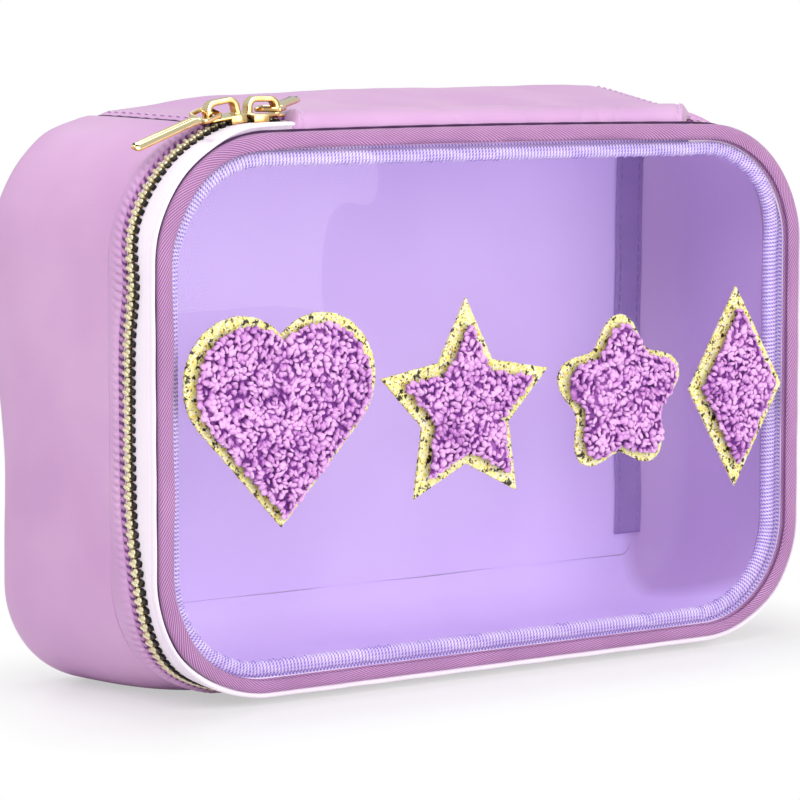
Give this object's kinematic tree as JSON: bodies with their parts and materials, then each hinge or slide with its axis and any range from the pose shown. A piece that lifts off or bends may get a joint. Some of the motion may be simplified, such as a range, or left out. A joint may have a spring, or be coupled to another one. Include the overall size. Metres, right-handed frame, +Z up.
{
  "type": "clear front zip case for game tiles",
  "caption": "Rounded rectangular zip case with a clear front lid that swings up, two zipper sliders and decorative patches, for storing and carrying game tiles.",
  "frame": {"origin": "middle of the bounding box at the level the case stands on", "axes": "+X to the right seen from the window side, +Y from the window to the back, +Z up"},
  "size_m": [0.235, 0.073, 0.1587],
  "materials": {
    "lilac_leather": "smooth lilac pink coated fabric, soft sheen",
    "lavender_lining": "plain lavender lining cloth",
    "seam_strip_cloth": "darker lavender seam tape",
    "white_foam": "thin padding foam, hidden",
    "white_zip_tape": "near-white woven zipper tape",
    "mauve_twill": "mauve pink twill bias binding",
    "lavender_braid": "ribbed lavender braid",
    "clear_film": "clear glossy vinyl sheet",
    "pale_gold": "polished pale gold",
    "antique_brass": "brass teeth",
    "gold_glitter": "gold glitter film",
    "orchid_pile": "looped orchid pile"
  },
  "bodies": {
    "case": {"gusset": "lilac_leather", "top_panel": "lilac_leather", "back_panel": "lilac_leather", "gusset_hem": "lilac_leather", "gusset_stiffener": "white_foam", "back_stiffener": "white_foam", "gusset_lining": "lavender_lining", "back_lining": "lavender_lining", "lining_seam_strip_left": "seam_strip_cloth", "lining_seam_strip_right": "seam_strip_cloth", "rear_zipper_tape": "white_zip_tape", "rear_zipper_teeth": "antique_brass", "front_tape_end": "white_zip_tape", "front_teeth_end": "antique_brass", "zipper_stop_left": "antique_brass", "zipper_stop_right_rear": "antique_brass", "hinge_strip_rear": "lilac_leather"},
    "lid": {"lid_window": "clear_film", "lid_binding": "mauve_twill", "lid_inner_braid": "lavender_braid", "front_zipper_tape": "white_zip_tape", "front_zipper_teeth": "antique_brass", "zipper_stop_right_front": "antique_brass", "hinge_strip_front": "lilac_leather", "heart_backing": "gold_glitter", "heart_pile": "orchid_pile", "star_backing": "gold_glitter", "star_pile": "orchid_pile", "flower_backing": "gold_glitter", "flower_pile": "orchid_pile", "diamond_backing": "gold_glitter", "diamond_pile": "orchid_pile"},
    "slider_a": {"slider_a": "pale_gold", "slider_a_bridge": "pale_gold"},
    "slider_a_pull": {"slider_a_pull": "pale_gold"},
    "slider_b": {"slider_b": "pale_gold", "slider_b_bridge": "pale_gold"},
    "slider_b_pull": {"slider_b_pull": "pale_gold"}
  },
  "joints": [
    {"name": "lid_hinge", "type": "hinge", "parent": "case", "child": "lid", "pos_m": [0, -0.0203, 0.15502], "axis": [-1, 0, 0], "range_deg": [0, 165]},
    {"name": "slider_a_track", "type": "hinge", "parent": "case", "child": "slider_a", "pos_m": [-0.07529, -0.0203, 0.1158], "axis": [0, -1, 0], "range_deg": [0, 65]},
    {"name": "slider_a_pull_hinge", "type": "hinge", "parent": "slider_a", "child": "slider_a_pull", "pos_m": [-0.08415, -0.0203, 0.15469], "axis": [0, 1, 0], "range_deg": [0, 120]},
    {"name": "slider_b_track", "type": "slide", "parent": "case", "child": "slider_b", "axis": [1, 0, 0], "range_m": [0, 0.001]},
    {"name": "slider_b_pull_hinge", "type": "hinge", "parent": "slider_b", "child": "slider_b_pull", "pos_m": [-0.06748, -0.02065, 0.15498], "axis": [0.6428, -0.766, 0], "range_deg": [0, 90]}
  ]
}
